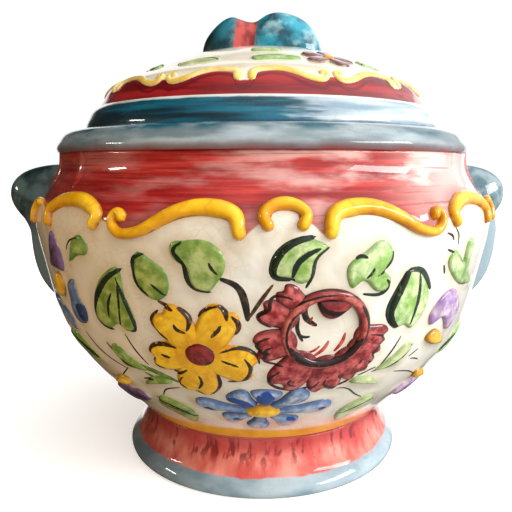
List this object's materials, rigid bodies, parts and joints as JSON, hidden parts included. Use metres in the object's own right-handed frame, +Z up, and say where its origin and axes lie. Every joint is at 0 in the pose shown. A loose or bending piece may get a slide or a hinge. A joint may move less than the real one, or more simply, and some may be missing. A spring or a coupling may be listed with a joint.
{
  "type": "lidded footed tureen",
  "caption": "Round footed pot of painted, glazed earthenware with two scroll lugs, raised flower and scroll relief and a domed lift-off lid with a bow knob.",
  "frame": {"origin": "on the surface the pot stands on, under the middle of the whole object", "axes": "+Z up along the pot's turning axis; +X through the right-hand lug; -Y is the front with the main flower panel"},
  "size_m": [0.2568, 0.2286, 0.22],
  "materials": {
    "cobalt_glaze": "glossy hand-painted glaze",
    "yellow_glaze": "glossy hand-painted glaze",
    "violet_glaze": "glossy hand-painted glaze",
    "green_glaze": "glossy hand-painted glaze",
    "rose_glaze": "glossy hand-painted glaze",
    "cream_glaze": "glossy hand-painted glaze",
    "crimson_glaze": "glossy hand-painted glaze",
    "teal_glaze": "glossy hand-painted glaze",
    "grey_blue_glaze": "glossy hand-painted glaze"
  },
  "bodies": {
    "pot": {"back_blue_petals": "cobalt_glaze", "back_bud_bases": "yellow_glaze", "back_buds": "violet_glaze", "back_flower_eyes": "yellow_glaze", "back_leaves": "green_glaze", "back_rose_ring": "rose_glaze", "back_rose_ruffles": "rose_glaze", "back_scrolls": "yellow_glaze", "back_yellow_petals": "yellow_glaze", "blue_flower_eye": "yellow_glaze", "blue_flower_petals": "cobalt_glaze", "bowl_wall": "cream_glaze", "bud_base_left": "yellow_glaze", "bud_base_right": "yellow_glaze", "bud_blue_left": "cobalt_glaze", "bud_low_base_left": "yellow_glaze", "bud_low_base_right": "yellow_glaze", "bud_low_left": "violet_glaze", "bud_low_right": "violet_glaze", "bud_violet_left": "violet_glaze", "bud_violet_right": "violet_glaze", "foot_ring": "crimson_glaze", "leaf_curled_top": "green_glaze", "leaf_forked_right": "green_glaze", "leaf_heart_left": "green_glaze", "leaf_heart_right": "green_glaze", "leaf_heart_top": "green_glaze", "leaf_low_left": "green_glaze", "leaf_low_right": "green_glaze", "leaf_side_left": "green_glaze", "leaf_side_right": "green_glaze", "leaf_slanted_left": "green_glaze", "leaf_slender_left": "green_glaze", "leaf_slender_right": "green_glaze", "leaf_small_left": "green_glaze", "leaf_trefoil": "green_glaze", "lug_left": "teal_glaze", "lug_right": "teal_glaze", "rim_collar": "grey_blue_glaze", "rose_bud": "rose_glaze", "rose_ring": "rose_glaze", "rose_ruffles": "rose_glaze", "scroll_centre": "yellow_glaze", "scroll_corner_left": "yellow_glaze", "scroll_corner_right": "yellow_glaze", "scroll_hooks": "yellow_glaze", "scroll_long_left": "yellow_glaze", "scroll_long_right": "yellow_glaze", "shoulder_ribs": "crimson_glaze", "yellow_flower_eye": "rose_glaze", "yellow_flower_petals": "yellow_glaze"},
    "lid": {"lid_flower_eyes": "yellow_glaze", "lid_flower_petals": "violet_glaze", "lid_knob": "teal_glaze", "lid_leaves": "green_glaze", "lid_locating_ring": "cream_glaze", "lid_scrolls": "yellow_glaze", "lid_shell": "cream_glaze"}
  },
  "joints": [
    {"name": "lid_lift", "type": "slide", "parent": "pot", "child": "lid", "axis": [0, 0, 1], "range_m": [0, 0.15]}
  ]
}
